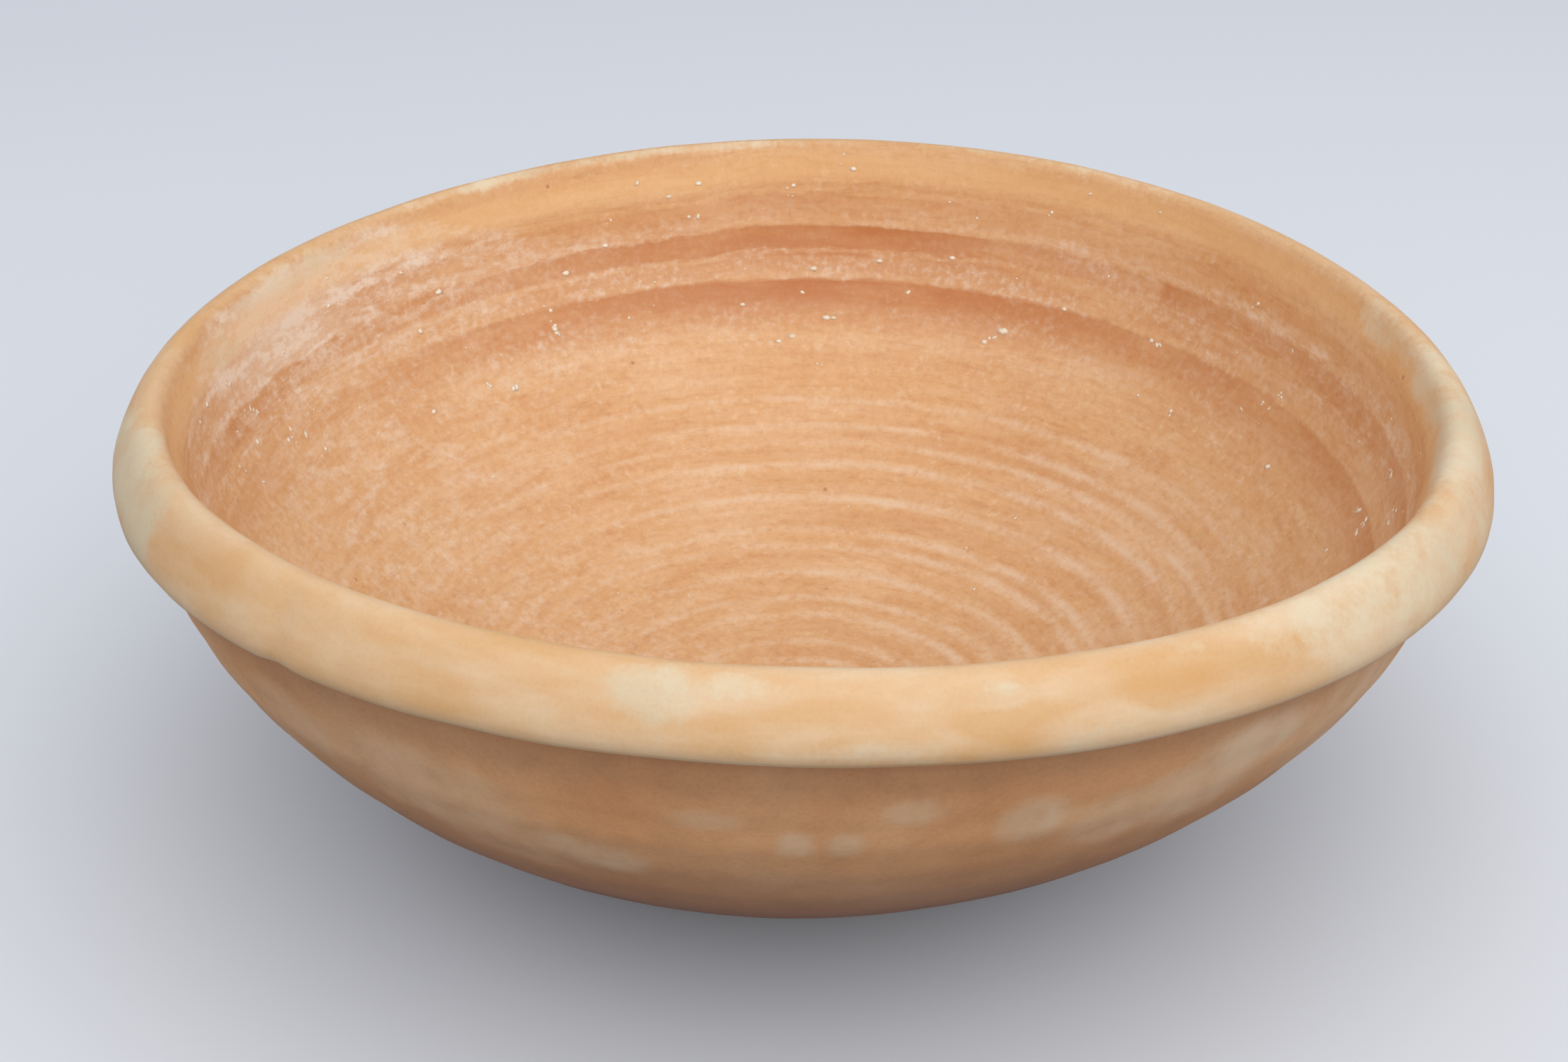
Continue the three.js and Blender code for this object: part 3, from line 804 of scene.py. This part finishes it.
dust_drift = add(tree, "Math", {0: drifts.outputs["Result"], 1: dust_zone.outputs[0]},
                 operation="MULTIPLY")
dust_bare = add(tree, "MapRange", {"Value": stroke_mask.outputs[0], "From Min": 0.35, "From Max": 0.8,
                                   "To Min": 1.0, "To Max": 0.15})
dust_bed = add(tree, "Math", {0: dust_drift.outputs[0], 1: dust_bare.outputs["Result"]},
               operation="MULTIPLY")
dust = add(tree, "Math", {0: specks.outputs["Result"], 1: dust_bed.outputs[0]}, operation="MULTIPLY")
dusty = add(tree, "Mix", {0: dust.outputs[0], 6: smeared.outputs[2], 7: linear("#eddac6")},
            data_type="RGBA")

# Rim: golden just inside the crest, worn paler over it, with cream crusts of lime and bare orange spots.
band_start = add(tree, "MapRange", {"Value": distance, "From Min": crest_run - 8,
                                    "From Max": crest_run - 6})
band_end = add(tree, "MapRange", {"Value": distance, "From Min": crest_run - 2, "From Max": crest_run - 4,
                                  "To Max": 0.5})
band = add(tree, "Math", {0: band_start.outputs["Result"], 1: band_end.outputs["Result"]},
           operation="MULTIPLY")
golden = add(tree, "Mix", {0: band.outputs[0], 6: dusty.outputs[2], 7: linear("#efc084")}, data_type="RGBA")
rim_tone = add(tree, "Math", {0: on_rim, 1: 0.85}, operation="MULTIPLY")
worn = add(tree, "ValToRGB", {"Fac": broad.outputs["Fac"]},
           stops=[(0.34, "#e3b178"), (0.5, "#e9bf90"), (0.66, "#efd0a9")])
pale_rim = add(tree, "Mix", {0: rim_tone.outputs[0], 6: golden.outputs[2], 7: worn.outputs["Color"]},
               data_type="RGBA")
bare_edge = add(tree, "Math", {0: curds.outputs["Fac"], 1: 0.8, 2: crust}, operation="MULTIPLY_ADD")
bare_spot = add(tree, "MapRange", {"Value": bare_edge.outputs[0], "From Min": 0.25, "From Max": -0.35,
                                   "To Max": 0.6})
warm_rim = add(tree, "Mix", {0: bare_spot.outputs["Result"], 6: pale_rim.outputs[2], 7: linear("#e0a663")},
               data_type="RGBA")
crust_grain = add(tree, "Math", {0: crumbs.outputs["Fac"], 1: 0.8, 2: -0.4}, operation="MULTIPLY_ADD")
crust_lumps = add(tree, "Math", {0: curds.outputs["Fac"], 1: 2.0, 2: crust_grain.outputs[0]},
                  operation="MULTIPLY_ADD")
crust_edge = add(tree, "Math", {0: crust_lumps.outputs[0], 1: crust}, operation="ADD")
crust_mask = add(tree, "MapRange", {"Value": crust_edge.outputs[0], "From Min": 1.3, "From Max": 2.05,
                                    "To Max": 0.9})
chalk_tone = add(tree, "ValToRGB", {"Fac": clouds.outputs["Fac"]},
                 stops=[(0.38, "#e0cba8"), (0.58, "#ebd6b4")])
crusted = add(tree, "Mix", {0: crust_mask.outputs["Result"], 6: warm_rim.outputs[2],
                            7: chalk_tone.outputs["Color"]}, data_type="RGBA")

# Sand, and dark pits where a grain fell out.
flecks = add(tree, "ValToRGB", {"Fac": sand.outputs["Fac"]},
             stops=[(0.28, 0.96), (0.5, 1.0), (0.75, 1.02)])
sanded = add(tree, "Mix", {0: 1.0, 6: crusted.outputs[2], 7: flecks.outputs["Color"]},
             data_type="RGBA", blend_type="MULTIPLY")
cells = add(tree, "TexVoronoi", {"Vector": place, "Scale": 1 / (4.5 * MM)})
pick = add(tree, "SeparateColor", {0: cells.outputs["Color"]})
chosen = add(tree, "Math", {0: pick.outputs[0], 1: 0.08}, operation="LESS_THAN")
core = add(tree, "MapRange", {"Value": cells.outputs["Distance"], "From Min": 0.1, "From Max": 0.04})
off_rim = add(tree, "MapRange", {"Value": on_rim, "From Max": 0.1, "To Min": 1.0, "To Max": 0.0})
inner_pit = add(tree, "Math", {0: chosen.outputs[0], 1: off_rim.outputs["Result"]}, operation="MULTIPLY")
pit = add(tree, "Math", {0: core.outputs["Result"], 1: inner_pit.outputs[0]}, operation="MULTIPLY")
pitted = add(tree, "Mix", {0: pit.outputs[0], 6: sanded.outputs[2], 7: linear("#bd8a60")}, data_type="RGBA")
tree.links.new(pitted.outputs[2], shader.inputs["Base Color"])
sheen = add(tree, "MapRange", {"Value": stroke_mask.outputs[0], "To Min": 0.62, "To Max": 0.48})
dull = add(tree, "Math", {0: crust_mask.outputs["Result"], 1: 0.3, 2: sheen.outputs["Result"]},
           operation="MULTIPLY_ADD", use_clamp=True)
tree.links.new(dull.outputs[0], shader.inputs["Roughness"])
shader.inputs["IOR"].default_value = 1.5
relief = add(tree, "Math", {0: fine.outputs["Fac"], 1: 0.6, 2: sand.outputs["Fac"]},
             operation="MULTIPLY_ADD")
sunk = add(tree, "Math", {0: relief.outputs[0], 1: pit.outputs[0]}, operation="SUBTRACT")
rough = add(tree, "Bump", {"Strength": 0.16, "Distance": 0.1 * MM, "Height": sunk.outputs[0]})
tree.links.new(rough.outputs["Normal"], shader.inputs["Normal"])
slip_piece = finish_piece(slip, "slip_coat", rubbed, "burnished_slip")


# Lime grits
# Crushed limestone in the clay. Firing turned the grains white, and the ones at the surface
# stand a little proud of the slip, often a few together.
GRIT_GROUPS = 240
GRITS_IN_GROUP = (1, 1, 1, 2, 3, 5)
GRIT_SIZES = (0.12, 0.15, 0.18, 0.22, 0.28, 0.36, 0.5)
GRIT_FLATNESS = 0.16
GRIT_SCATTER = 0.7
GRIT_LUMPS = 0.6
GRIT_JITTER = 0.08
GRIT_SEEDS = (1.0, 2.0, 3.0)
BELOW_CREST = 4

# How likely a spot shows grits: often above a height and seldom below it, and more often where there
# is film.
GRIT_LEVEL = 34
UPPER_CHANCE = 0.9
LOWER_CHANCE = 0.12
BARE_SHARE = 0.45
FILM_SHARE = 0.55

# The grits that catch the eye: degrees from +X, height, radius. Their length, width and thickness are
# shares of the radius.
BIG_FORM = (1.4, 0.85, 0.2)
BIG_GRITS = [(62.6, 39.9, 0.85), (90.3, 37.0, 0.6), (92.0, 36.6, 0.45), (85.8, 39.6, 0.62),
             (84.6, 39.9, 0.45), (101.0, 62.0, 0.5), (105.3, 60.8, 0.45), (83.4, 62.0, 0.5),
             (79.7, 48.0, 0.5), (87.5, 46.3, 0.6), (118.0, 51.0, 0.6), (112.5, 55.2, 0.5),
             (70.5, 48.6, 0.5), (55.5, 44.1, 0.45), (96.5, 41.5, 0.42)]

# Fired limestone: chalk white, dead matte, a little cream where clay clings to it.
chalk, tree, shader = new_material("fired_limestone")
place = add(tree, "TexCoord").outputs["Object"]
stain = add(tree, "TexNoise", {"Vector": place, "Scale": 1 / (0.8 * MM), "Detail": 3.0})
white = add(tree, "ValToRGB", {"Fac": stain.outputs["Fac"]},
            stops=[(0.3, "#ecd8b6"), (0.6, "#f8ecd8")])
tree.links.new(white.outputs["Color"], shader.inputs["Base Color"])
shader.inputs["Roughness"].default_value = 0.9
shader.inputs["IOR"].default_value = 1.55


def run_radius(height):
    """Radius of the slip's face at a height."""
    return next(r for r, h in slip_front if h >= height)


# Grits sit on faces of the slip inside the crest. The faces are put in the order of their places, which
# is the same in every run.
chance = random.Random(11)
marks = slip_piece.data.attributes["along"].data
faces = [p for p in slip_piece.data.polygons if marks[p.vertices[0]].value < crest_run - BELOW_CREST]
faces.sort(key=lambda p: ([round(c / MM, 2) for c in p.center], list(p.center)))
grits = bmesh.new()
for degrees, height, size in BIG_GRITS:
    way = math.radians(degrees)
    spot = Vector((math.cos(way), math.sin(way))) * run_radius(height) * MM
    p = min(faces, key=lambda f: (spot - f.center.xy).length)
    out = p.normal.to_track_quat("Z", "Y").to_matrix().to_4x4()
    form = Matrix.Diagonal([size * MM * share for share in BIG_FORM] + [1])
    bmesh.ops.create_icosphere(grits, subdivisions=1, radius=1.0,
                               matrix=Matrix.Translation(p.center) @ out @ form)
groups = 0
while groups < GRIT_GROUPS:
    p = faces[chance.randrange(len(faces))]
    likely = UPPER_CHANCE if p.center.z > GRIT_LEVEL * MM else LOWER_CHANCE
    likely *= BARE_SHARE + FILM_SHARE * min(around(math.atan2(p.center.y, p.center.x), FILM), 1.0)
    if chance.random() > likely:
        continue
    out = p.normal.to_track_quat("Z", "Y").to_matrix().to_4x4()
    for _ in range(chance.choice(GRITS_IN_GROUP)):
        size = chance.choice(GRIT_SIZES) * MM
        lie = Matrix.Rotation(chance.uniform(0, math.tau), 4, "Z")
        step = Matrix.Translation([chance.gauss(0, GRIT_SCATTER) * MM for _ in "xy"] + [0])
        length = size * chance.uniform(0.9, 1.8)
        width = size * chance.uniform(0.6, 1.1)
        form = Matrix.Diagonal((length, width, size * GRIT_FLATNESS, 1))
        bmesh.ops.create_icosphere(grits, subdivisions=1, radius=1.0,
                                   matrix=Matrix.Translation(p.center) @ out @ step @ lie @ form)
    groups += 1
for v in grits.verts:
    v.co += Vector([grain(v.co, GRIT_LUMPS, seed) for seed in GRIT_SEEDS]) * GRIT_JITTER * MM
finish_piece(grits, "lime_grits", chalk, None)


# Floor, light and camera
# A plain pale table, a broad soft lamp high in front on the right, and even light all round.
# The table throws less light back up than the eye sees, as a darker ground would.
TABLE_HALF = 6.0
SKY_STRENGTH = 0.72
LAMP_WIDTH = 1.9
LAMP_WATTS = 11.0
LAMP_AT = Vector((0.19, -0.65, 0.88))
EYE_AT = Vector((-2.01, -270.65, 177.21))
EYE_TILT = 27.23
EYE_ROLL = 0.18
SENSOR_WIDTH = 36.0
LENS = 50.54

floor = bmesh.new()
bmesh.ops.create_grid(floor, x_segments=1, y_segments=1, size=TABLE_HALF)
mesh = bpy.data.meshes.new("table")
floor.to_mesh(mesh)
floor.free()
table = bpy.data.objects.new("table", mesh)
bpy.context.scene.collection.objects.link(table)

# Plain pale paper: matte and bright where it is seen, also in a reflection, and greyer to bounced light.
plain, tree, shader = new_material("plain_pale_paper")
seen = add(tree, "LightPath")
mirrored = add(tree, "Math", {0: seen.outputs["Is Glossy Ray"], 1: seen.outputs["Is Transmission Ray"]},
               operation="MAXIMUM")
shown = add(tree, "Math", {0: seen.outputs["Is Camera Ray"], 1: mirrored.outputs[0]}, operation="MAXIMUM")
paper = add(tree, "Mix", {0: shown.outputs[0], 6: linear("#7e7f83"), 7: linear("#e6e7ea")},
            data_type="RGBA")
tree.links.new(paper.outputs[2], shader.inputs["Base Color"])
shader.inputs["Roughness"].default_value = 0.9
shader.inputs["Specular IOR Level"].default_value = 0.2
mesh.materials.append(plain)

world = bpy.data.worlds.new("even_light")
bpy.context.scene.world = world
world.use_nodes = True
world.node_tree.nodes["Background"].inputs["Color"].default_value = linear("#dde4ee")
world.node_tree.nodes["Background"].inputs["Strength"].default_value = SKY_STRENGTH

lamp = bpy.data.lights.new("soft_lamp", "AREA")
lamp.shape = "DISK"
lamp.size = LAMP_WIDTH
lamp.energy = LAMP_WATTS
lamp_object = bpy.data.objects.new("soft_lamp", lamp)
lamp_object.matrix_world = (Matrix.Translation(LAMP_AT)
                            @ (-LAMP_AT).to_track_quat("-Z", "Y").to_matrix().to_4x4())
bpy.context.scene.collection.objects.link(lamp_object)

eye = bpy.data.cameras.new("camera")
eye.sensor_width = SENSOR_WIDTH
eye.lens = LENS
camera = bpy.data.objects.new("camera", eye)
camera.matrix_world = (Matrix.Translation(EYE_AT * MM)
                       @ Matrix.Rotation(math.radians(90 - EYE_TILT), 4, "X")
                       @ Matrix.Rotation(math.radians(-EYE_ROLL), 4, "Z"))
bpy.context.scene.collection.objects.link(camera)
bpy.context.scene.camera = camera
bpy.context.scene.view_settings.view_transform = "Standard"
